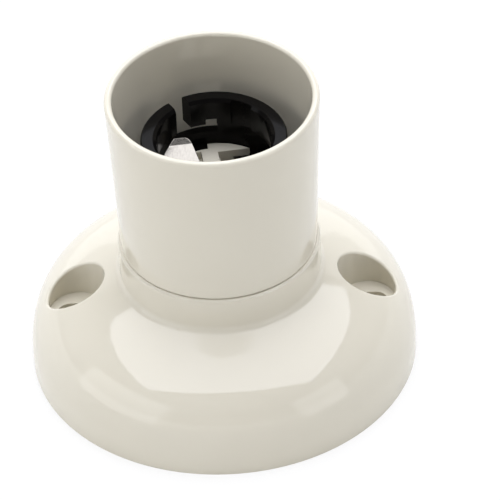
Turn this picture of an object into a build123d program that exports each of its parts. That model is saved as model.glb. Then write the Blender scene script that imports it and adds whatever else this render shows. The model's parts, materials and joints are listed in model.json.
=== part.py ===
from build123d import *

import os
from math import cos, radians, sin, tan

# Straight batten lampholder for a two-pin bayonet lamp: a domed base that is screwed to a
# ceiling or wall, a bayonet barrel on its central pillar, two leaf contacts fed by terminals
# on the wiring side, and a protective skirt that screws into the collar of the base.
# The origin is the centre of the mounting face, +Z is the lamp's axis and X runs through the
# two fixing wells. Pieces around the pillar are drawn in a frame that is turned about Z by
# INSERT_TURN: u and v are that frame's own axes. Sizes are millimetres, angles are degrees.

# Fits
PRESS_FIT = 0.02
SLEEVE_FIT = 0.15
RUN_FIT = 0.3
SEAM_GAP = 0.1

# Barrel that takes the lamp cap
LAMP_BORE_RADIUS = 11.2
BARREL_WALL = 2.96
BARREL_HEIGHT = 34.7
BARREL_FOOT_STEP = 1.64
BARREL_FOOT_HEIGHT = 9.0
BARREL_LEAD_IN = 0.6
BARREL_EDGE = 0.3
SEAT_STEP = 1.0
INSERT_TURN = 7.0

# Bayonet slots, measured down from the rim of the barrel
ENTRY_ANGLE = 115.0
ENTRY_WIDTH = 3.2
LEG_DEPTH = 5.9
LEG_HEIGHT = 2.8
HOOK_RISE = 1.2
HOOK_WIDTH = 2.7
HOOK_END_ANGLE = 80.5
CHANNEL_END_ANGLE = 43.0
CHANNEL_START_ANGLE = 66.0
CHANNEL_DEPTH = 0.5

# Keys that stop the barrel turning on the pillar
KEY_OFFSET = 2.0
KEY_WIDTH = 3.4
KEY_REACH = 1.4
KEY_HEIGHT = 3.2

# Skirt
SKIRT_HEIGHT = 34.8
SKIRT_WALL = 1.5
SKIRT_FLARE = 1.5
SKIRT_EDGE = 0.15
SPIGOT_WALL = 1.5
SPIGOT_LENGTH = 7.0

# Base
BASE_WALL = 2.4
FOOT_HEIGHT = 2.4
DOME_HEIGHT = 20.5
DOME_SHOULDER = 13.1
DOME_CROWN = 8.8
CROWN_SLOPE = 22.5
WEB_HEIGHT = 18.5
COLLAR_WALL = 1.9
COLLAR_RISE = 7.9
COLLAR_FILLET = 1.6
COLLAR_EDGE = 0.5
SEAM_STEP = 0.6
PILLAR_HEIGHT = 23.1
PILLAR_WALL = 2.6
PILLAR_CAP = 4.4
RIB_COUNT = 6
RIB_THICKNESS = 1.6
RIB_LIFT = 6.0
RIB_SETBACK = 1.4

# Fixing wells
FIXING_SPACING = 57.0
FIXING_SLOT_WIDTH = 4.6
FIXING_SLOT_LENGTH = 8.0
WELL_RADIUS = 5.65
WELL_FLOOR_HEIGHT = 10.2
WELL_WALL = 1.8
WELL_MARGIN = 3.85
WELL_EDGE = 0.4

# Leaf contacts
LEAF_CENTRE = 6.3
LEAF_THICKNESS = 0.45
LEAF_BEND_RADIUS = 0.5
LEAF_BEND_V = 7.18
LEAF_DROP = 1.0
LEAF_SLOPE = 18.0
LEAF_LENGTH = 15.3
LEAF_TIP_SLOPE = 40.0
LEAF_TIP_LENGTH = 1.5
LEAF_TAB_LENGTH = 2.6
LEAF_ROOT_WIDTH = 3.9
LEAF_BROAD_WIDTH = 8.8
LEAF_RIDGE_WIDTH = 5.6
LEAF_TIP_WIDTH = 3.2
LEAF_CORNER = 0.7
LEAF_CHANNEL_DEPTH = 1.8
NOTCH_SIDE_ROOM = 2.3
NOTCH_BACK_ROOM = 1.25

# Terminals
RISER_THICKNESS = 0.9
BLOCK_WIDTH = 7.6
BLOCK_DEPTH = 7.0
BLOCK_HEIGHT = 10.0
POCKET_WALL = 1.4
POCKET_DEPTH = 2.6
WIRE_BORE_RADIUS = 1.6
WIRE_BORE_DROP = 4.6
CLAMP_RADIUS = 1.5
CLAMP_TRAVEL = 2.4
CLAMP_HEAD_RADIUS = 2.6
CLAMP_HEAD_HEIGHT = 1.8
CLAMP_SLOT_WIDTH = 0.8
CLAMP_SLOT_DEPTH = 0.9
RIVET_RADIUS = 1.0
RIVET_HEAD_RADIUS = 1.7
RIVET_HEAD_HEIGHT = 0.7
RIVET_DEPTH = 2.4
RIVET_DROP = 1.6

# Screws that hold the barrel down
BARREL_SCREW_RADIUS = 1.1
BARREL_SCREW_GRIP = 6.0
BARREL_SCREW_HEAD_RADIUS = 2.1
BARREL_SCREW_HEAD_HEIGHT = 1.6
BARREL_SCREW_SLOT_WIDTH = 0.7

# Radii from the lamp bore outwards
PILLAR_RADIUS = LAMP_BORE_RADIUS + SEAT_STEP
SLEEVE_RADIUS = PILLAR_RADIUS + SLEEVE_FIT
BARREL_RADIUS = LAMP_BORE_RADIUS + BARREL_WALL
BARREL_FOOT_RADIUS = BARREL_RADIUS + BARREL_FOOT_STEP
SPIGOT_BORE_RADIUS = BARREL_FOOT_RADIUS + RUN_FIT
SPIGOT_RADIUS = SPIGOT_BORE_RADIUS + SPIGOT_WALL
COLLAR_BORE_RADIUS = SPIGOT_RADIUS + RUN_FIT
COLLAR_RADIUS = COLLAR_BORE_RADIUS + COLLAR_WALL
CROWN_RADIUS = COLLAR_RADIUS + COLLAR_FILLET * (1 - sin(radians(CROWN_SLOPE)))
SKIRT_RADIUS = COLLAR_RADIUS - SEAM_STEP
SKIRT_TOP_RADIUS = SKIRT_RADIUS + SKIRT_FLARE
CORE_RADIUS = PILLAR_RADIUS - PILLAR_WALL
FIXING_X = FIXING_SPACING / 2
BASE_RADIUS = FIXING_X + WELL_RADIUS + WELL_MARGIN
BARREL_SCREW_U = (SLEEVE_RADIUS + BARREL_FOOT_RADIUS) / 2
RIB_STEP = 360 / (RIB_COUNT + 2)

# Heights above the mounting face
WEB_TOP = WEB_HEIGHT
WEB_BOTTOM = WEB_TOP - BASE_WALL
COLLAR_TOP = DOME_HEIGHT + COLLAR_RISE
COLLAR_ROOT = DOME_HEIGHT + COLLAR_FILLET * cos(radians(CROWN_SLOPE))
INNER_CROWN = DOME_HEIGHT - BASE_WALL / cos(radians(CROWN_SLOPE))
SKIRT_SEAT = COLLAR_TOP + SEAM_GAP
SKIRT_TOP = SKIRT_SEAT + SKIRT_HEIGHT
PILLAR_TOP = WEB_TOP + PILLAR_HEIGHT
BARREL_TOP = WEB_TOP + BARREL_HEIGHT
LEG_TOP = BARREL_TOP - LEG_DEPTH
LEG_BOTTOM = LEG_TOP - LEG_HEIGHT
HOOK_TOP = LEG_TOP + HOOK_RISE
LEAF_BEND_Z = PILLAR_TOP - LEAF_DROP
BLOCK_TOP = WEB_BOTTOM - PRESS_FIT
BLOCK_BOTTOM = BLOCK_TOP - BLOCK_HEIGHT
WIRE_BORE_Z = BLOCK_TOP - WIRE_BORE_DROP
RIVET_Z = BLOCK_TOP - RIVET_DROP

# Places of the terminal strip and block beside the leaf's tab
TAB_V = LEAF_BEND_V + LEAF_BEND_RADIUS
RISER_OUTER_V = TAB_V - PRESS_FIT
RISER_INNER_V = RISER_OUTER_V - RISER_THICKNESS
BLOCK_INNER_V = RISER_OUTER_V + PRESS_FIT
BLOCK_OUTER_V = BLOCK_INNER_V + BLOCK_DEPTH
BLOCK_MIDDLE_V = (BLOCK_INNER_V + BLOCK_OUTER_V) / 2
NOTCH_OUTER_V = TAB_V + LEAF_THICKNESS + NOTCH_BACK_ROOM
NOTCH_INNER_V = RISER_INNER_V - SLEEVE_FIT

INSERT = Rot(0, 0, INSERT_TURN)
OPPOSITE = Rot(0, 0, 180)

# Turn that keeps the seam of the revolved dome between two ribs, away from the wells
BETWEEN_RIBS = Rot(0, 0, RIB_STEP / 2)


def disc(radius, bottom, top):
    """A cylinder about Z between two heights."""
    stand = (Align.CENTER, Align.CENTER, Align.MIN)
    return Pos(0, 0, bottom) * Cylinder(radius, top - bottom, align=stand)


def span(u_from, u_to, v_from, v_to, bottom, top):
    """A box between limits on each axis."""
    middle = Pos((u_from + u_to) / 2, (v_from + v_to) / 2, (bottom + top) / 2)
    return middle * Box(u_to - u_from, v_to - v_from, top - bottom)


def sector(radius, start_angle, end_angle, bottom, top):
    """A pie-shaped prism with its point on the Z axis."""
    arc = CenterArc((0, 0), radius, start_angle, end_angle - start_angle)
    sides = Polyline(arc @ 1, (0, 0), arc @ 0)
    return Pos(0, 0, bottom) * extrude(make_face(arc + sides), top - bottom)


def turned(outline):
    """A solid of revolution about Z from a closed outline of radius and height."""
    return revolve(Plane.XZ * make_face(outline), Axis.Z)


def paired(shape):
    """A shape and its copy half a turn round the lamp axis."""
    return shape + OPPOSITE * shape


def rod_along_v(radius, u, z, v_from, v_to):
    """A round rod parallel to v."""
    stand = (Align.CENTER, Align.CENTER, Align.MIN)
    return Pos(u, v_from, z) * Rot(-90, 0, 0) * Cylinder(radius, v_to - v_from, align=stand)


def dome_curve(radius, crown_height, scale):
    """The side of the dome, upright at the foot and gently sloped at the crown."""
    shoulder = (radius, FOOT_HEIGHT + DOME_SHOULDER * scale)
    reach = DOME_CROWN * scale
    slope = (CROWN_RADIUS + reach, crown_height - reach * tan(radians(CROWN_SLOPE)))
    return Bezier((radius, FOOT_HEIGHT), shoulder, slope, (CROWN_RADIUS, crown_height))


def collar_root(angle):
    """The hollow where the crown turns up into the collar, at an angle down from level."""
    turn = radians(angle)
    return (COLLAR_RADIUS + COLLAR_FILLET * (1 - cos(turn)), COLLAR_ROOT - COLLAR_FILLET * sin(turn))


def base_envelope():
    """The outside of the base: dome, collar, the skirt's bore and the central pillar."""
    crown_angle = 90 - CROWN_SLOPE
    round_off = COLLAR_EDGE * (1 - cos(radians(45)))
    foot = Polyline((0, 0), (BASE_RADIUS, 0), (BASE_RADIUS, FOOT_HEIGHT))
    dome = dome_curve(BASE_RADIUS, DOME_HEIGHT, 1)
    hollow = ThreePointArc(dome @ 1, collar_root(crown_angle / 2), collar_root(0))
    side = Line(hollow @ 1, (COLLAR_RADIUS, COLLAR_TOP - COLLAR_EDGE))
    edge = ThreePointArc(
        side @ 1,
        (COLLAR_RADIUS - round_off, COLLAR_TOP - round_off),
        (COLLAR_RADIUS - COLLAR_EDGE, COLLAR_TOP),
    )
    inside = Polyline(
        edge @ 1,
        (COLLAR_BORE_RADIUS, COLLAR_TOP),
        (COLLAR_BORE_RADIUS, WEB_TOP),
        (PILLAR_RADIUS, WEB_TOP),
        (PILLAR_RADIUS, PILLAR_TOP),
        (0, PILLAR_TOP),
        (0, 0),
    )
    return BETWEEN_RIBS * turned(foot + dome + hollow + side + edge + inside)


def base_cavity():
    """The wiring space under the dome and the core of the pillar, open at the mounting face."""
    inner_radius = BASE_RADIUS - BASE_WALL
    inner_scale = (inner_radius - CROWN_RADIUS) / (BASE_RADIUS - CROWN_RADIUS)
    mouth = Polyline((0, 0), (inner_radius, 0), (inner_radius, FOOT_HEIGHT))
    side = dome_curve(inner_radius, INNER_CROWN, inner_scale)
    core = Polyline(
        side @ 1,
        (CROWN_RADIUS, WEB_BOTTOM),
        (CORE_RADIUS, WEB_BOTTOM),
        (CORE_RADIUS, PILLAR_TOP - PILLAR_CAP),
        (0, PILLAR_TOP - PILLAR_CAP),
        (0, 0),
    )
    return BETWEEN_RIBS * turned(mouth + side + core)


def slot_prism(width, length, bottom, top):
    """A slot with round ends along X."""
    return Pos(0, 0, bottom) * extrude(SlotOverall(length, width), top - bottom)


def well_body():
    """The tube round one fixing well and the slotted boss that reaches the mounting face."""
    tube = disc(WELL_RADIUS + WELL_WALL, WELL_FLOOR_HEIGHT - WELL_WALL, DOME_HEIGHT)
    boss_width = FIXING_SLOT_WIDTH + 2 * WELL_WALL
    boss_length = FIXING_SLOT_LENGTH + 2 * WELL_WALL
    return tube + slot_prism(boss_width, boss_length, 0, WELL_FLOOR_HEIGHT)


def well_hollow():
    """The well for the screw head, and the slot through its floor."""
    well = disc(WELL_RADIUS, WELL_FLOOR_HEIGHT, COLLAR_TOP)
    return well + slot_prism(FIXING_SLOT_WIDTH, FIXING_SLOT_LENGTH, 0, WELL_FLOOR_HEIGHT)


def at_fixings(shape):
    """A shape at both fixing centres."""
    return Pos(FIXING_X, 0, 0) * shape + Pos(-FIXING_X, 0, 0) * shape


def well_mouths(body):
    """The edges where the fixing wells break out through the dome."""
    near_wells = body.edges().filter_by_position(Axis.Z, WELL_FLOOR_HEIGHT + WELL_EDGE, DOME_HEIGHT)
    return [
        edge for edge in near_wells
        if all(abs(Vector(abs(point.X) - FIXING_X, point.Y).length - WELL_RADIUS) < PRESS_FIT
               for point in edge.positions([0.1, 0.5, 0.9]))
    ]


def ribs():
    """Stiffening ribs under the dome, clear of the fixing wells."""
    half = RIB_THICKNESS / 2
    rib = span(CROWN_RADIUS + RIB_SETBACK, BASE_RADIUS, -half, half, RIB_LIFT, WEB_TOP)
    turns = [RIB_STEP * index for index in range(1, RIB_COUNT + 2) if RIB_STEP * index != 180]
    return [Rot(0, 0, turn) * rib for turn in turns]


def pocket(u, closed):
    """Walls under the web that hold one terminal block, open to the riser unless closed."""
    half = BLOCK_WIDTH / 2 + SLEEVE_FIT
    bottom = WEB_BOTTOM - POCKET_DEPTH
    inner_v = BLOCK_INNER_V - SLEEVE_FIT
    outer_v = BLOCK_OUTER_V + SLEEVE_FIT
    back_v = inner_v - POCKET_WALL if closed else BLOCK_INNER_V
    walls = span(u - half - POCKET_WALL, u + half + POCKET_WALL, back_v, outer_v + POCKET_WALL,
                 bottom, WEB_TOP)
    room_v = inner_v if closed else back_v - RISER_THICKNESS
    return walls, span(u - half, u + half, room_v, outer_v, bottom, WEB_BOTTOM)


def leaf_room():
    """The channel under one leaf and the notch for its tab and riser, open to the pillar's side."""
    channel_u = LEAF_CENTRE - LEAF_BROAD_WIDTH / 2 - RUN_FIT
    channel_floor = PILLAR_TOP - LEAF_CHANNEL_DEPTH
    flat_tip_v = LEAF_BEND_V - LEAF_LENGTH - LEAF_TIP_LENGTH - RUN_FIT
    channel = span(channel_u, PILLAR_RADIUS, flat_tip_v, NOTCH_OUTER_V, channel_floor, PILLAR_TOP)
    notch_u = LEAF_CENTRE - LEAF_ROOT_WIDTH / 2 - NOTCH_SIDE_ROOM
    notch = span(notch_u, PILLAR_RADIUS, NOTCH_INNER_V, NOTCH_OUTER_V, WEB_BOTTOM, PILLAR_TOP)
    return channel + notch


def key(room):
    """One key of the barrel, or with room added its keyway in the pillar."""
    half = KEY_WIDTH / 2 + room
    bottom = PILLAR_TOP - KEY_HEIGHT - room
    bar = span(-KEY_OFFSET - half, -KEY_OFFSET + half, 0, SLEEVE_RADIUS, bottom, PILLAR_TOP)
    shell = disc(SLEEVE_RADIUS + SLEEVE_FIT, bottom, PILLAR_TOP)
    return bar & (shell - disc(PILLAR_RADIUS - KEY_REACH - room, bottom, PILLAR_TOP))


def base():
    """The moulded base."""
    envelope = base_envelope()
    body = envelope - base_cavity()
    for rib in ribs():
        body += rib & envelope
    body += at_fixings(well_body()) & envelope
    live_walls, live_room = pocket(LEAF_CENTRE, closed=False)
    loop_walls, loop_room = pocket(-LEAF_CENTRE, closed=True)
    cable_well = disc(CORE_RADIUS, 0, WEB_TOP)
    body += INSERT * (paired(live_walls) + loop_walls - cable_well)
    body -= at_fixings(well_hollow())
    body = fillet(well_mouths(body), WELL_EDGE)
    screw_hole = Pos(BARREL_SCREW_U, 0, 0) * disc(BARREL_SCREW_RADIUS + SLEEVE_FIT, WEB_BOTTOM, WEB_TOP)
    cuts = paired(live_room + leaf_room() + key(SLEEVE_FIT) + screw_hole) + loop_room
    return body - INSERT * cuts


def skirt():
    """The tapered skirt with the spigot that screws into the collar."""
    rim_radius = SKIRT_WALL / 2
    rim_base = SKIRT_TOP - rim_radius
    floor_top = SKIRT_SEAT + SKIRT_WALL
    outside = Polyline(
        (SPIGOT_BORE_RADIUS, SKIRT_SEAT - SPIGOT_LENGTH),
        (SPIGOT_RADIUS, SKIRT_SEAT - SPIGOT_LENGTH),
        (SPIGOT_RADIUS, SKIRT_SEAT),
        (SKIRT_RADIUS - SKIRT_EDGE, SKIRT_SEAT),
        (SKIRT_RADIUS, SKIRT_SEAT + SKIRT_EDGE),
        (SKIRT_TOP_RADIUS, rim_base),
    )
    rim = ThreePointArc(
        outside @ 1,
        (SKIRT_TOP_RADIUS - rim_radius, SKIRT_TOP),
        (SKIRT_TOP_RADIUS - SKIRT_WALL, rim_base),
    )
    inside = Polyline(
        rim @ 1,
        (SKIRT_RADIUS - SKIRT_WALL, floor_top),
        (SPIGOT_BORE_RADIUS, floor_top),
        (SPIGOT_BORE_RADIUS, SKIRT_SEAT - SPIGOT_LENGTH),
    )
    return turned(outside + rim + inside)


def bayonet_slot():
    """One pin slot: the way in from the rim, the leg, the hook and a shallow channel beside it."""
    outside = BARREL_RADIUS + BARREL_WALL
    entry = Rot(0, 0, ENTRY_ANGLE) * span(
        0, outside, -ENTRY_WIDTH / 2, ENTRY_WIDTH / 2, LEG_BOTTOM, BARREL_TOP)
    leg = sector(outside, HOOK_END_ANGLE, ENTRY_ANGLE, LEG_BOTTOM, LEG_TOP)
    hook_sweep = HOOK_WIDTH / radians(1) / BARREL_RADIUS
    hook = sector(outside, HOOK_END_ANGLE, HOOK_END_ANGLE + hook_sweep, LEG_BOTTOM, HOOK_TOP)
    channel = sector(LAMP_BORE_RADIUS + CHANNEL_DEPTH, CHANNEL_END_ANGLE, CHANNEL_START_ANGLE,
                     LEG_TOP, BARREL_TOP)
    return entry + leg + hook + channel


def bayonet_barrel():
    """The sleeve over the pillar that holds the lamp cap by its pins."""
    foot_top = WEB_TOP + BARREL_FOOT_HEIGHT
    outline = Polyline(
        (SLEEVE_RADIUS, WEB_TOP),
        (BARREL_FOOT_RADIUS, WEB_TOP),
        (BARREL_FOOT_RADIUS, foot_top - BARREL_FOOT_STEP),
        (BARREL_RADIUS, foot_top),
        (BARREL_RADIUS, BARREL_TOP - BARREL_EDGE),
        (BARREL_RADIUS - BARREL_EDGE, BARREL_TOP),
        (LAMP_BORE_RADIUS + BARREL_LEAD_IN, BARREL_TOP),
        (LAMP_BORE_RADIUS, BARREL_TOP - BARREL_LEAD_IN),
        (LAMP_BORE_RADIUS, LEG_TOP),
        (SLEEVE_RADIUS, LEG_TOP),
        close=True,
    )
    screw_hole = Pos(BARREL_SCREW_U, 0, 0) * disc(
        BARREL_SCREW_RADIUS + PRESS_FIT, WEB_TOP, WEB_TOP + BARREL_SCREW_GRIP + RUN_FIT)
    body = turned(outline) - paired(bayonet_slot() + screw_hole) + paired(key(0))
    return INSERT * body


def barrel_screw():
    """A pan-head screw that goes up through the web into the foot of the barrel."""
    shank = disc(BARREL_SCREW_RADIUS, WEB_BOTTOM, WEB_TOP + BARREL_SCREW_GRIP)
    head_bottom = WEB_BOTTOM - BARREL_SCREW_HEAD_HEIGHT
    head = disc(BARREL_SCREW_HEAD_RADIUS, head_bottom, WEB_BOTTOM)
    crown_edge = head.edges().group_by(Axis.Z)[0]
    head = fillet(crown_edge, BARREL_SCREW_HEAD_HEIGHT / 2)
    slot_half = BARREL_SCREW_SLOT_WIDTH / 2
    slot_top = head_bottom + BARREL_SCREW_HEAD_HEIGHT / 2
    slot = span(-BARREL_SCREW_HEAD_RADIUS, BARREL_SCREW_HEAD_RADIUS, -slot_half, slot_half,
                head_bottom, slot_top)
    return INSERT * Pos(BARREL_SCREW_U, 0, 0) * (shank + head - slot)


def leaf_side():
    """The leaf seen from its edge: tab, bend, rising blade and upturned tip, as a v and z outline."""
    inner = LEAF_BEND_RADIUS
    outer = inner + LEAF_THICKNESS
    tab_bottom = LEAF_BEND_Z - LEAF_TAB_LENGTH
    rise = (-cos(radians(LEAF_SLOPE)), sin(radians(LEAF_SLOPE)))
    tip_rise = (-cos(radians(LEAF_TIP_SLOPE)), sin(radians(LEAF_TIP_SLOPE)))

    def on_bend(radius, angle):
        turn = radians(angle)
        return (LEAF_BEND_V + radius * cos(turn), LEAF_BEND_Z + radius * sin(turn))

    def along(point, direction, length):
        return (point[0] + direction[0] * length, point[1] + direction[1] * length)

    bend_end = 90 - LEAF_SLOPE
    outer_arc = ThreePointArc(on_bend(outer, 0), on_bend(outer, bend_end / 2), on_bend(outer, bend_end))
    inner_arc = ThreePointArc(on_bend(inner, bend_end), on_bend(inner, bend_end / 2), on_bend(inner, 0))
    mitre = LEAF_THICKNESS * sin(radians((LEAF_TIP_SLOPE - LEAF_SLOPE) / 2))
    outer_ridge = along(on_bend(outer, bend_end), rise, LEAF_LENGTH - mitre / 2)
    inner_ridge = along(on_bend(inner, bend_end), rise, LEAF_LENGTH + mitre / 2)
    top = Polyline(
        on_bend(outer, bend_end),
        outer_ridge,
        along(outer_ridge, tip_rise, LEAF_TIP_LENGTH),
        along(inner_ridge, tip_rise, LEAF_TIP_LENGTH),
        inner_ridge,
        on_bend(inner, bend_end),
    )
    tab = Polyline(
        on_bend(inner, 0),
        (LEAF_BEND_V + inner, tab_bottom),
        (LEAF_BEND_V + outer, tab_bottom),
        on_bend(outer, 0),
    )
    return outer_arc + top + inner_arc + tab


def leaf_plan():
    """The leaf seen from above: narrow root, broad middle, tapered tip, inside the lamp bore."""
    reach = LEAF_LENGTH * cos(radians(LEAF_SLOPE))
    ridge_v = LEAF_BEND_V - reach
    stations = [
        (TAB_V + 2 * LEAF_THICKNESS, LEAF_ROOT_WIDTH),
        (LEAF_BEND_V - LEAF_ROOT_WIDTH / 2, LEAF_ROOT_WIDTH),
        (LEAF_BEND_V - reach / 2, LEAF_BROAD_WIDTH),
        (ridge_v, LEAF_RIDGE_WIDTH),
        (ridge_v - LEAF_TIP_LENGTH, LEAF_TIP_WIDTH),
    ]
    inner_side = [(LEAF_CENTRE - width / 2, v) for v, width in stations]
    outer_side = [(LEAF_CENTRE + width / 2, v) for v, width in reversed(stations)]
    outline = make_face(Polyline(*inner_side, *outer_side, close=True))
    outline = fillet(outline.vertices().group_by(Axis.Y)[0], LEAF_CORNER)
    return outline & Circle(LAMP_BORE_RADIUS - RUN_FIT)


def leaf_contact():
    """One spring leaf, made from a strip that is bent and then trimmed to its plan."""
    side = Plane.YZ * make_face(leaf_side())
    strip = extrude(side, LAMP_BORE_RADIUS)
    height = BARREL_TOP - WEB_BOTTOM
    return INSERT * (strip & Pos(0, 0, WEB_BOTTOM) * extrude(leaf_plan(), height))


def terminal_riser():
    """The strip that carries current from the terminal block up to the leaf's tab."""
    half = LEAF_ROOT_WIDTH / 2
    top = LEAF_BEND_Z - RUN_FIT
    strip = span(LEAF_CENTRE - half, LEAF_CENTRE + half, RISER_INNER_V, RISER_OUTER_V,
                 BLOCK_BOTTOM + RIVET_DROP, top)
    hole = rod_along_v(RIVET_RADIUS + PRESS_FIT, LEAF_CENTRE, RIVET_Z, RISER_INNER_V, RISER_OUTER_V)
    return INSERT * (strip - hole)


def terminal_block(u, riveted):
    """A tunnel terminal: wire bore along u, clamp hole from below, rivet hole towards the riser."""
    half = BLOCK_WIDTH / 2
    body = span(u - half, u + half, BLOCK_INNER_V, BLOCK_OUTER_V, BLOCK_BOTTOM, BLOCK_TOP)
    body = chamfer(body.edges().filter_by(Axis.Z), RUN_FIT)
    bore = Pos(u, BLOCK_MIDDLE_V, WIRE_BORE_Z) * Rot(0, 90, 0) * Cylinder(WIRE_BORE_RADIUS, BLOCK_WIDTH)
    clamp = Pos(u, BLOCK_MIDDLE_V, 0) * disc(CLAMP_RADIUS + PRESS_FIT, BLOCK_BOTTOM, WIRE_BORE_Z)
    body = body - bore - clamp
    if riveted:
        depth_v = BLOCK_INNER_V + RIVET_DEPTH + PRESS_FIT
        body -= rod_along_v(RIVET_RADIUS + PRESS_FIT, u, RIVET_Z, BLOCK_INNER_V, depth_v)
    return INSERT * body


def terminal_rivet():
    """The rivet that joins a riser to its terminal block."""
    shank = rod_along_v(RIVET_RADIUS, LEAF_CENTRE, RIVET_Z, RISER_INNER_V, BLOCK_INNER_V + RIVET_DEPTH)
    head = rod_along_v(RIVET_HEAD_RADIUS, LEAF_CENTRE, RIVET_Z,
                       RISER_INNER_V - RIVET_HEAD_HEIGHT, RISER_INNER_V)
    head = chamfer(head.edges().group_by(Axis.Y)[0], RIVET_HEAD_HEIGHT / 2)
    return INSERT * (shank + head)


def terminal_screw(u):
    """A cheese-head clamp screw, drawn backed out so that its wire bore is open."""
    tip = WIRE_BORE_Z - WIRE_BORE_RADIUS - PRESS_FIT
    head_top = BLOCK_BOTTOM - CLAMP_TRAVEL - RUN_FIT
    head_bottom = head_top - CLAMP_HEAD_HEIGHT
    shank = disc(CLAMP_RADIUS, head_top, tip)
    shank = chamfer(shank.edges().group_by(Axis.Z)[-1], RUN_FIT)
    slot_half = CLAMP_SLOT_WIDTH / 2
    slot = span(-CLAMP_HEAD_RADIUS, CLAMP_HEAD_RADIUS, -slot_half, slot_half,
                head_bottom, head_bottom + CLAMP_SLOT_DEPTH)
    head = disc(CLAMP_HEAD_RADIUS, head_bottom, head_top) - slot
    return INSERT * Pos(u, BLOCK_MIDDLE_V, 0) * (shank + head)


def pieces():
    """Every piece of the lampholder under its own name."""
    made = {
        "base": base(),
        "skirt": skirt(),
        "bayonet_barrel": bayonet_barrel(),
        "loop_terminal_block": terminal_block(-LEAF_CENTRE, riveted=False),
        "loop_terminal_screw": terminal_screw(-LEAF_CENTRE),
    }
    poles = {
        "barrel_screw": barrel_screw(),
        "contact_leaf": leaf_contact(),
        "terminal_riser": terminal_riser(),
        "terminal_block": terminal_block(LEAF_CENTRE, riveted=True),
        "terminal_rivet": terminal_rivet(),
        "terminal_screw": terminal_screw(LEAF_CENTRE),
    }
    for name, shape in poles.items():
        made[name + "_right"] = shape
        made[name + "_left"] = OPPOSITE * shape
    return made


os.makedirs("parts", exist_ok=True)
for node, solid in pieces().items():
    export_step(solid, f"parts/{node}.step")
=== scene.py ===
# %% [markdown]
# A batten lampholder is the simple ceiling fitting that a bare lamp plugs into. A domed base is
# screwed to the ceiling, a black bayonet barrel on its pillar grips the lamp's two pins, and a
# plain tapered skirt screws over the barrel to keep fingers away from the live contacts.
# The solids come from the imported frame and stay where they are. This script gives every surface
# its finish, adds the round threads, draws the two spring leaves again with soft edges, and sets
# up the studio.

# %% Load the frame
import json
import math

import bpy
import numpy as np
from mathutils import Matrix, Vector


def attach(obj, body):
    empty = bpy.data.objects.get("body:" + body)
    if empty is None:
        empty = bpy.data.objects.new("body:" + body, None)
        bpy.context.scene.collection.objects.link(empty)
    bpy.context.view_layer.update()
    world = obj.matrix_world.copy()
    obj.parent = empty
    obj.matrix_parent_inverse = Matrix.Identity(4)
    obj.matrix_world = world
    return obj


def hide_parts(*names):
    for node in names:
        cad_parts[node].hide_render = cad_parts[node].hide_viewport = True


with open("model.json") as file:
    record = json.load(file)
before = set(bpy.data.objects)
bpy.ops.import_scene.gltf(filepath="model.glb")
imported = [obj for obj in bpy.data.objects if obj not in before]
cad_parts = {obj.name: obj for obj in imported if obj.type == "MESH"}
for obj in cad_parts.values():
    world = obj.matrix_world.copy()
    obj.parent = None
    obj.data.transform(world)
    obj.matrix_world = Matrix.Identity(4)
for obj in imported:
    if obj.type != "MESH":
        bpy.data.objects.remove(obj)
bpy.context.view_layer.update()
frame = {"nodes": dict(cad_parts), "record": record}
MM = 0.001

# %% [markdown]
# Colours are easiest to read as the hex values of a paint chart, which are sRGB. The renderer
# adds light in linear numbers, so one function does the change for every colour below.
# Shader nodes are all made by one small helper too: it takes the node's kind, its settings, and
# what goes into its sockets, where a socket of another node is linked and a plain value is set.


# %% Colour and node helpers
def linear(hex_colour):
    """An sRGB hex colour as linear red, green, blue and alpha."""
    parts = np.array([int(hex_colour[at:at + 2], 16) for at in (1, 3, 5)]) / 255
    curve = np.where(parts <= 0.04045, parts / 12.92, ((parts + 0.055) / 1.055) ** 2.4)
    return (*curve.tolist(), 1.0)


def add_node(tree, kind, inputs, **settings):
    """One shader node: settings are its own properties, inputs are sockets or values by name or index."""
    made = tree.nodes.new(kind)
    for name, value in settings.items():
        setattr(made, name, value)
    for name, value in inputs.items():
        if isinstance(value, bpy.types.NodeSocket):
            tree.links.new(value, made.inputs[name])
        else:
            made.inputs[name].default_value = value
    return made


def new_material(name):
    """An empty node material, with its tree, output node and object coordinates."""
    material = bpy.data.materials.new(name)
    material.use_nodes = True
    tree = material.node_tree
    tree.nodes.clear()
    output = tree.nodes.new("ShaderNodeOutputMaterial")
    place = tree.nodes.new("ShaderNodeTexCoord").outputs["Object"]
    return material, tree, output, place


print("mid grey in linear light:", round(linear("#808080")[0], 3))

# %% [markdown]
# Every finish is built from the same four steps. A noise pattern varies from 0 to 1 over the
# surface. It blends two colours, it shifts the roughness a little up and down, and it raises a
# relief too shallow to model. A pattern's scale is stated as the size of one feature in
# millimetres, so that it can be checked against the real thing.

# %% Pattern helpers
MIX_FACTOR = 0
MIX_FIRST = 6
MIX_SECOND = 7
MIX_RESULT = 2


def per_metre(size_mm):
    """The texture scale at which one feature of a pattern is size_mm wide."""
    return 1 / (size_mm * MM)


def noise(tree, place, scale, detail):
    """A cloudy pattern around 0.5, with finer layers added by detail."""
    inputs = {"Vector": place, "Scale": scale, "Detail": detail}
    return add_node(tree, "ShaderNodeTexNoise", inputs).outputs["Fac"]


def blend(tree, pattern, first, second):
    """The first colour where the pattern is 0, the second where it is 1."""
    inputs = {MIX_FACTOR: pattern, MIX_FIRST: first, MIX_SECOND: second}
    return add_node(tree, "ShaderNodeMix", inputs, data_type="RGBA").outputs[MIX_RESULT]


def between(tree, pattern, low, high):
    """The low number where the pattern is 0, the high one where it is 1."""
    inputs = {"Value": pattern, "To Min": low, "To Max": high}
    return add_node(tree, "ShaderNodeMapRange", inputs).outputs["Result"]


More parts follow.
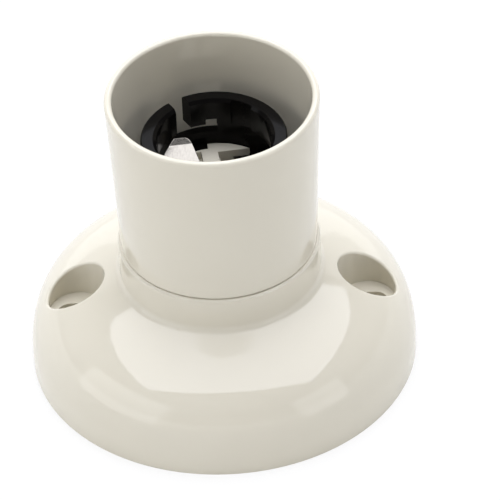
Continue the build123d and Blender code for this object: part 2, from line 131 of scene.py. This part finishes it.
def relief(tree, pattern, height_mm):
    """The normals of a surface that rises by height_mm from pattern 0 to pattern 1."""
    inputs = {"Height": pattern, "Strength": 1.0, "Distance": height_mm * MM}
    return add_node(tree, "ShaderNodeBump", inputs).outputs["Normal"]


print("a feature of 2 mm has scale", per_metre(2.0))

# %% [markdown]
# The base and skirt are moulded polybutylene terephthalate, PBT, the usual plastic of white
# electrical fittings. It fills a polished steel mould, so the surface is glossy, and the
# pigment is titanium white with a little yellow. Up close the gloss is not a perfect mirror:
# the skin shrinks as it cools and leaves a faint orange peel a few millimetres across, and the
# flow of the melt leaves the tone very slightly uneven.

# %% Ivory PBT
IVORY = linear("#dad5c6")
IVORY_FLOW = linear("#d7d1c1")
PBT_IOR = 1.5
PBT_ROUGHNESS = 0.05
PBT_ROUGHNESS_SPREAD = 0.02
FLOW_MM = 32.0
PEEL_MM = 2.6
PEEL_HEIGHT_MM = 0.0016


def ivory_pbt():
    """Glossy moulded plastic: flow-tinted colour, slight variation of gloss and orange peel."""
    material, tree, output, place = new_material("ivory_moulded_pbt")
    flow = noise(tree, place, per_metre(FLOW_MM), 2.0)
    peel = noise(tree, place, per_metre(PEEL_MM), 1.0)
    gloss = between(tree, flow, PBT_ROUGHNESS - PBT_ROUGHNESS_SPREAD, PBT_ROUGHNESS + PBT_ROUGHNESS_SPREAD)
    shader = add_node(tree, "ShaderNodeBsdfPrincipled",
                      {"Base Color": blend(tree, flow, IVORY, IVORY_FLOW), "Roughness": gloss,
                       "IOR": PBT_IOR, "Normal": relief(tree, peel, PEEL_HEIGHT_MM)})
    tree.links.new(shader.outputs["BSDF"], output.inputs["Surface"])
    return material


print("ivory in linear light:", [round(value, 3) for value in IVORY[:3]])

# %% [markdown]
# The barrel has to stand the heat of the lamp cap, so it is a black thermoset, phenolic
# moulding compound, filled with wood flour. Its skin has a quiet gloss, in which the pale floor
# and the skirt around it show dimly, and the filler gives it a fine grain.

# %% Black phenolic
PHENOLIC = linear("#0b0a0a")
PHENOLIC_WORN = linear("#100f0e")
PHENOLIC_IOR = 1.6
PHENOLIC_ROUGHNESS = 0.14
PHENOLIC_SHEEN = 0.06
FILLER_MM = 0.35
FILLER_HEIGHT_MM = 0.001


def black_phenolic():
    """Dim-glossed black moulding: dark colour with a fine filler grain in tone and relief."""
    material, tree, output, place = new_material("black_phenolic")
    grain = noise(tree, place, per_metre(FILLER_MM), 3.0)
    shader = add_node(tree, "ShaderNodeBsdfPrincipled",
                      {"Base Color": blend(tree, grain, PHENOLIC, PHENOLIC_WORN),
                       "Roughness": PHENOLIC_ROUGHNESS, "IOR": PHENOLIC_IOR,
                       "Specular IOR Level": PHENOLIC_SHEEN,
                       "Normal": relief(tree, grain, FILLER_HEIGHT_MM)})
    tree.links.new(shader.outputs["BSDF"], output.inputs["Surface"])
    return material


print("phenolic in linear light:", [round(value, 4) for value in PHENOLIC[:3]])

# %% [markdown]
# Three metals remain. The leaves are phosphor bronze strip with a bright nickel plate, rolled
# along their length. The terminals are machined brass, and the screws are zinc-plated steel.
# A metal has no colour under its surface: its tint is in its reflection, so metallic is 1, and
# the fine lines of rolling and machining show as streaks in the roughness and the relief.
# Those lines are really a few hundredths of a millimetre apart, too fine to show in a picture,
# so they are drawn a little coarser.

# %% Streaked metals
STREAK_LENGTH = 14.0
STREAK_SPREAD = 0.3
METALS = {
    "nickel_leaf": {"name": "nickel_plated_bronze", "colour": "#98948d", "tarnish": "#8a867f",
                    "roughness": 0.24, "streak_mm": 0.3, "streak_height_mm": 0.002, "along": 1},
    "brass": {"name": "machined_brass", "colour": "#cda85a", "tarnish": "#b8934a",
              "roughness": 0.28, "streak_mm": 0.25, "streak_height_mm": 0.003, "along": 2},
    "plated_steel": {"name": "zinc_plated_steel", "colour": "#c3c4c2", "tarnish": "#b0b2ad",
                     "roughness": 0.3, "streak_mm": 0.3, "streak_height_mm": 0.002, "along": 0},
}


def streaked_metal(name, colour, tarnish, roughness, streak_mm, streak_height_mm, along):
    """A plated or machined metal: streaks along one axis vary its tint, gloss and relief."""
    material, tree, output, place = new_material(name)
    stretch = [per_metre(streak_mm)] * 3
    stretch[along] /= STREAK_LENGTH
    lined = add_node(tree, "ShaderNodeMapping", {"Vector": place, "Scale": stretch})
    streaks = noise(tree, lined.outputs["Vector"], 1.0, 2.0)
    gloss = between(tree, streaks, roughness * (1 - STREAK_SPREAD), roughness * (1 + STREAK_SPREAD))
    shader = add_node(tree, "ShaderNodeBsdfPrincipled",
                      {"Base Color": blend(tree, streaks, linear(colour), linear(tarnish)),
                       "Metallic": 1.0, "Roughness": gloss,
                       "Normal": relief(tree, streaks, streak_height_mm)})
    tree.links.new(shader.outputs["BSDF"], output.inputs["Surface"])
    return material


print("metals:", ", ".join(values["name"] for values in METALS.values()))

# %% [markdown]
# The record gives each node a material slot. One finish is made for each slot, and every node's
# mesh takes the finish of its own.

# %% Dress the nodes
finishes = {"ivory_plastic": ivory_pbt(), "black_plastic": black_phenolic()}
for slot, values in METALS.items():
    finishes[slot] = streaked_metal(**values)
for subpart in frame["record"]["subparts"]:
    mesh = frame["nodes"][subpart["node"]].data
    mesh.materials.clear()
    mesh.materials.append(finishes[subpart["material_slot"]])

# %% [markdown]
# Every new surface below is a grid of points. One formula gives each point from its row and
# column, and the quads follow from the numbering. The columns run round and meet themselves, so
# a grid has no open seam.


# %% Surface helpers
def wrapped_quads(rows, columns):
    """Quads between neighbouring rows of a grid whose last column joins its first."""
    row, column = np.meshgrid(np.arange(rows - 1), np.arange(columns), indexing="ij")
    beside = (column + 1) % columns
    corners = [row * columns + column, row * columns + beside,
               (row + 1) * columns + beside, (row + 1) * columns + column]
    return np.stack(corners, -1).reshape(-1, 4)


def end_caps(rows, columns):
    """Ladders of quads that close the first and the last row of such a grid."""
    rung = np.arange(columns // 2 - 1)
    first = np.stack([rung + 1, rung, columns - 1 - rung, columns - 2 - rung], -1)
    return np.concatenate([first, first[:, ::-1] + (rows - 1) * columns])


def revolved_grid(radius, height, steps):
    """A profile carried once round Z: at angle a its point is (radius cos a, radius sin a, height)."""
    angle = np.linspace(0, 2 * np.pi, steps, endpoint=False)
    ring = np.stack([np.outer(radius, np.cos(angle)), np.outer(radius, np.sin(angle)),
                     np.repeat(height[:, None], steps, 1)], -1)
    return ring.reshape(-1, 3), wrapped_quads(len(radius), steps)


def mesh_object(name, vertices, faces, material):
    """A new smooth object from arrays of vertices and quads, linked to the scene."""
    mesh = bpy.data.meshes.new(name)
    mesh.from_pydata(vertices.tolist(), [], faces.tolist())
    mesh.polygons.foreach_set("use_smooth", np.ones(len(mesh.polygons), bool))
    mesh.materials.append(material)
    mesh.update()
    made = bpy.data.objects.new(name, mesh)
    bpy.context.scene.collection.objects.link(made)
    return made


print("a closed grid of 3 rows and 8 columns:", len(wrapped_quads(3, 8)) + len(end_caps(3, 8)), "quads")

# %% [markdown]
# The skirt screws into the collar by a coarse round thread, the kind that comes easily out of a
# mould. The solids leave it out, so it is added here: a rib of oval section that climbs as a
# right-handed helix. One rib runs round the skirt's spigot. The other runs round the bore of
# the collar half a pitch lower, so that each lies in the other's groove. Both fade out at their
# ends.

# %% Round threads
SPIGOT_RADIUS_MM = 17.6
COLLAR_BORE_MM = 17.9
THREAD_PITCH_MM = 2.5
THREAD_RISE_MM = 0.25
THREAD_WIDTH_MM = 1.0
RUN_OUT_TURNS = 0.12
RUN_OUT_LEAST = 0.1
SPIGOT_THREAD_MM = 22.2
SPIGOT_THREAD_TURNS = 2.2
COLLAR_EXTRA_TURNS = 0.6
THREAD_STEPS_PER_TURN = 96
THREAD_SECTION_POINTS = 8


def round_thread(name, radius_mm, bottom_mm, turns):
    """A rib on a helix of radius R, pitch p and bottom z, with rise h and width w.

    At turn t and section angle s the point has radius R + f h sin s, angle 2 pi t and height
    z + p t + f (w / 2) cos s, where f grows from RUN_OUT_LEAST to 1 at both ends.
    """
    turn = np.linspace(0, turns, int(THREAD_STEPS_PER_TURN * turns))[:, None]
    section = np.linspace(0, 2 * np.pi, THREAD_SECTION_POINTS, endpoint=False)
    full = np.clip(np.minimum(turn, turns - turn) / RUN_OUT_TURNS, RUN_OUT_LEAST, 1)
    radius = radius_mm + full * THREAD_RISE_MM * np.sin(section)
    height = bottom_mm + THREAD_PITCH_MM * turn + full * THREAD_WIDTH_MM / 2 * np.cos(section)
    angle = 2 * np.pi * turn
    points = np.stack([radius * np.cos(angle), radius * np.sin(angle), height], -1).reshape(-1, 3) * MM
    shape = (len(turn), len(section))
    faces = np.concatenate([wrapped_quads(*shape), end_caps(*shape)])
    rib = mesh_object(name, points, faces, finishes["ivory_plastic"])
    print(name, len(faces), "quads over", turns, "turns")
    return rib


spigot_thread = round_thread("spigot_thread", SPIGOT_RADIUS_MM, SPIGOT_THREAD_MM, SPIGOT_THREAD_TURNS)
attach(spigot_thread, "skirt")
collar_thread = round_thread("collar_thread", COLLAR_BORE_MM, SPIGOT_THREAD_MM - THREAD_PITCH_MM / 2,
                             SPIGOT_THREAD_TURNS + COLLAR_EXTRA_TURNS)
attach(collar_thread, "base")

# %% [markdown]
# Each contact is one strip of springy bronze: a tab that stands in the pillar, a tight bend, a
# blade that slopes up to meet the lamp, and a turned-up tip with round corners. The solid's
# edges are cut square, but a stamped and plated strip has soft ones, and they catch the light as
# thin lines. So the strip is drawn again as a section carried along a path. The path adds up
# small steps in the direction in which the strip heads, and that turns only in the two bends.
# A heading of 0 degrees is straight up, and one of 90 degrees is level, towards the axis.

# %% Path of a leaf
LEAF_START_MM = (7.905, 38.0)
LEAF_STRETCHES_MM = {"tab": 2.6, "root_bend": 0.911, "blade": 15.05, "tip_bend": 0.5, "tip": 1.25}
LEAF_HEADINGS = (0, 0, 72, 72, 50, 50)
LEAF_STEPS = 420

stretch_ends = np.cumsum([0, *LEAF_STRETCHES_MM.values()])
along_leaf = np.linspace(0, stretch_ends[-1], LEAF_STEPS)
heading = np.radians(np.interp(along_leaf, stretch_ends, LEAF_HEADINGS))
middle_heading = (heading[1:] + heading[:-1]) / 2
leaf_step = along_leaf[1]
leaf_depth = LEAF_START_MM[0] - leaf_step * np.concatenate([[0], np.cumsum(np.sin(middle_heading))])
leaf_height = LEAF_START_MM[1] + leaf_step * np.concatenate([[0], np.cumsum(np.cos(middle_heading))])
print("leaf tip at depth", round(leaf_depth[-1], 2), "and height", round(leaf_height[-1], 2), "mm")

# %% [markdown]
# The width is what a stamping die gives: narrow at the root, broad in the middle where the lamp's
# contact lands, and narrow again at the tip, with the outer edge kept clear of the round bore.
# Near the end the width falls along a quarter circle, which rounds the corners.

# %% Outline of a leaf
LEAF_CENTRE_MM = 6.3
LEAF_WIDTHS_MM = {0.0: 3.9, 5.5: 3.9, 11.1: 8.8, 18.8: 5.6, 20.3: 4.4}
LEAF_CORNER_MM = 0.9
LEAF_CLEAR_RADIUS_MM = 10.9

half_width = np.interp(along_leaf, list(LEAF_WIDTHS_MM), list(LEAF_WIDTHS_MM.values())) / 2
into_corner = np.clip(along_leaf - along_leaf[-1] + LEAF_CORNER_MM, 0, LEAF_CORNER_MM)
half_width -= LEAF_CORNER_MM - np.sqrt(LEAF_CORNER_MM ** 2 - into_corner ** 2)
bore_limit = np.sqrt(LEAF_CLEAR_RADIUS_MM ** 2 - leaf_depth ** 2)
leaf_outer = np.minimum(LEAF_CENTRE_MM + half_width, bore_limit)
leaf_inner = LEAF_CENTRE_MM - half_width
print("leaf", round((leaf_outer - leaf_inner).max(), 2), "mm across at its widest")

# %% [markdown]
# The section is a flat strip whose four edges are quarter circles. Each quarter has one more
# point, which lies on the flat face just beside the edge. It keeps the shading of the flat face
# flat, because smooth shading then turns only between that point and the edge.

# %% Leaf contacts
LEAF_THICKNESS_MM = 0.45
LEAF_EDGE_MM = 0.12
ROUND_THEN_FLAT = np.array([-1, -1 / 3, 1 / 3, 1, 1])
FLAT_LAST = np.array([0, 0, 0, 0, 1])
INSERT_TURN = math.radians(7)


def spring_leaf(name, half_turn):
    """A strip with round edges: half width h and thickness t along the path, with edge radius e.

    At section angle s, in the quarter with signs (a, b), the point lies across the strip by
    a (h - e) + e cos s, and off its middle surface by b (t / 2 - e) + e sin s. The point beside
    an edge lies e further in, at a (h - 2 e) + e cos s.
    """
    quarter = np.repeat(np.arange(4) + 0.5, len(ROUND_THEN_FLAT)) * np.pi / 2
    section = quarter + np.concatenate([ROUND_THEN_FLAT, -ROUND_THEN_FLAT[::-1]] * 2) * np.pi / 4
    on_flat = np.concatenate([FLAT_LAST, FLAT_LAST[::-1]] * 2)
    reach = (leaf_outer - leaf_inner)[:, None] / 2 - LEAF_EDGE_MM - LEAF_EDGE_MM * on_flat
    across = ((leaf_outer + leaf_inner)[:, None] / 2 + np.sign(np.cos(quarter)) * reach
              + LEAF_EDGE_MM * np.cos(section))
    off = np.sign(np.sin(quarter)) * (LEAF_THICKNESS_MM / 2 - LEAF_EDGE_MM) + LEAF_EDGE_MM * np.sin(section)
    depth = leaf_depth[:, None] + off * np.cos(heading)[:, None]
    height = leaf_height[:, None] + off * np.sin(heading)[:, None]
    turn = INSERT_TURN + half_turn
    points = np.stack([across * math.cos(turn) - depth * math.sin(turn),
                       across * math.sin(turn) + depth * math.cos(turn), height], -1).reshape(-1, 3) * MM
    shape = across.shape
    faces = np.concatenate([wrapped_quads(*shape), end_caps(*shape)])
    leaf = mesh_object(name, points, faces, finishes["nickel_leaf"])
    print(name, len(faces), "quads")
    return leaf


for side_name, half_turn in (("right", 0), ("left", math.pi)):
    leaf = spring_leaf("spring_leaf_" + side_name, half_turn)
    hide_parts("contact_leaf_" + side_name)
    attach(leaf, "contact_" + side_name)

# %% [markdown]
# The studio is a white table whose edge curves up into a low rim, so that every view from above
# has white behind the object. One grid makes it: radius runs one way and angle the other, and
# height rises as a smooth curve past the flat middle. Seen by the camera, or in a shiny surface,
# it is mostly plain white, and the rest is ordinary diffuse paint, which keeps the soft shadow.
# From below it is clear, so that the underside of the object can be looked at.

# %% Table and rim
TABLE_RADIUS = 2.6
FLAT_RADIUS = 1.5
RIM_HEIGHT = 0.7
TABLE_RINGS = 60
TABLE_STEPS = 96
TABLE_WHITE = linear("#f4f4f3")
WHITE_SHARE = 0.8


def either(tree, first, second):
    """The larger of two sockets, which is 1 where either of them is."""
    return add_node(tree, "ShaderNodeMath", {0: first, 1: second}, operation="MAXIMUM").outputs[0]


def table_white():
    """White paint, shown mostly as plain white to the camera and to reflections, clear from below."""
    material, tree, output, _ = new_material("white_table_paint")
    rays = tree.nodes.new("ShaderNodeLightPath").outputs
    seen = either(tree, rays["Is Camera Ray"], rays["Is Glossy Ray"])
    shown = either(tree, seen, rays["Is Transmission Ray"])
    share = add_node(tree, "ShaderNodeMath", {0: shown, 1: WHITE_SHARE}, operation="MULTIPLY").outputs[0]
    paint = add_node(tree, "ShaderNodeBsdfDiffuse", {"Color": TABLE_WHITE}).outputs[0]
    glow = add_node(tree, "ShaderNodeEmission", {"Color": (1, 1, 1, 1), "Strength": 1.0}).outputs[0]
    top = add_node(tree, "ShaderNodeMixShader", {0: share, 1: paint, 2: glow}).outputs[0]
    clear = tree.nodes.new("ShaderNodeBsdfTransparent").outputs[0]
    facing = tree.nodes.new("ShaderNodeNewGeometry").outputs["Backfacing"]
    surface = add_node(tree, "ShaderNodeMixShader", {0: facing, 1: top, 2: clear}).outputs[0]
    tree.links.new(surface, output.inputs["Surface"])
    return material


table_radius = np.linspace(TABLE_RADIUS, 0.0, TABLE_RINGS)
lift = np.clip((table_radius - FLAT_RADIUS) / (TABLE_RADIUS - FLAT_RADIUS), 0, 1)
table_points, table_faces = revolved_grid(table_radius, RIM_HEIGHT * lift ** 2, TABLE_STEPS)
table = mesh_object("studio_table", table_points, table_faces, table_white())
print("table", len(table_faces), "faces")

# %% [markdown]
# The reflections say where the lights stood. The bright field on the crown of the dome is a
# large panel overhead and behind, and the two soft windows low on the dome are panels in
# front, to the left and to the right. A low wide panel in front and another behind stand for
# the paler walls of the room, which fill the shadows. Each panel is placed by the direction
# and the angles that it fills, and its power follows from the brightness of its face.

# %% Lights
WORLD_LIGHT = 0.03
PANELS = {
    "overhead_panel": {"place": (0.04, 0.31, 0.80), "size": (1.18, 1.22), "bright": 3.4,
                       "look": (0.04, 0.31, 0.0), "colour": "#f6f8ff"},
    "left_panel": {"place": (-0.75, -0.38, 0.33), "size": (0.84, 0.67), "bright": 1.5,
                   "look": (0, 0, 0.015), "colour": "#ffffff"},
    "right_panel": {"place": (0.71, -0.49, 0.27), "size": (0.48, 0.55), "bright": 1.4,
                    "look": (0, 0, 0.015), "colour": "#ffffff"},
    "front_panel": {"place": (0.0, -1.26, 0.35), "size": (2.10, 0.55), "bright": 0.4,
                    "look": (0, 0, 0.015), "colour": "#fff8ea"},
    "back_panel": {"place": (0.0, 1.50, 0.56), "size": (2.50, 1.16), "bright": 0.75,
                   "look": (0, 0, 0.015), "colour": "#ffffff"},
}


def add_panel(name, place, size, bright, look, colour):
    """A rectangular soft light. A flat panel of area A that sends out P watts is P / (pi A) bright."""
    light = bpy.data.lights.new(name, "AREA")
    light.shape = "RECTANGLE"
    light.size, light.size_y = size
    light.energy = bright * math.pi * size[0] * size[1]
    light.color = linear(colour)[:3]
    panel = bpy.data.objects.new(name, light)
    panel.location = place
    panel.visible_camera = False
    panel.rotation_euler = (Vector(look) - Vector(place)).to_track_quat("-Z", "Y").to_euler()
    bpy.context.scene.collection.objects.link(panel)
    print(name, round(light.energy, 2), "watts")


for panel_name, values in PANELS.items():
    add_panel(panel_name, **values)
world = bpy.data.worlds.new("studio")
bpy.context.scene.world = world
world.use_nodes = True
world.node_tree.nodes["Background"].inputs["Color"].default_value = (1, 1, 1, 1)
world.node_tree.nodes["Background"].inputs["Strength"].default_value = WORLD_LIGHT

# %% [markdown]
# The camera looks down at about forty degrees through a long lens, so the object's sides stay
# nearly parallel. It is rolled by three degrees, because the object leans that much in its
# picture. It is turned, and not shifted, until the aim point falls on its own pixel.

# %% Camera
IMAGE_SIZE = 500
SENSOR_MM = 36.0
FOCAL_PIXELS = 5408.3
AIM_POINT = Vector((0, 0, 0.030))
AIM_PIXEL = (218.7, 228.8)
AZIMUTH = math.radians(1.2)
ELEVATION = math.radians(40.28)
ROLL = math.radians(3.035)
DISTANCE = 1.0539

back = Vector((math.sin(AZIMUTH) * math.cos(ELEVATION), -math.cos(AZIMUTH) * math.cos(ELEVATION),
               math.sin(ELEVATION)))
level = Vector((math.cos(AZIMUTH), math.sin(AZIMUTH), 0))
upright = back.cross(level)
rolled_up = math.sin(ROLL) * level + math.cos(ROLL) * upright
rolled_side = rolled_up.cross(back)
off_side = (IMAGE_SIZE / 2 - AIM_PIXEL[0]) / FOCAL_PIXELS
off_down = (IMAGE_SIZE / 2 - AIM_PIXEL[1]) / FOCAL_PIXELS
view_back = (back - off_side * rolled_side + off_down * rolled_up).normalized()
side = rolled_up.cross(view_back).normalized()
lens = bpy.data.cameras.new("camera")
lens.sensor_width = SENSOR_MM
lens.lens = FOCAL_PIXELS * SENSOR_MM / IMAGE_SIZE
camera = bpy.data.objects.new("camera", lens)
camera.matrix_world = Matrix((side, view_back.cross(side), view_back)).transposed().to_4x4()
camera.location = AIM_POINT + back * DISTANCE
bpy.context.scene.collection.objects.link(camera)
bpy.context.scene.camera = camera
bpy.context.scene.view_settings.view_transform = "Standard"
print("lens", round(lens.lens, 1), "mm")
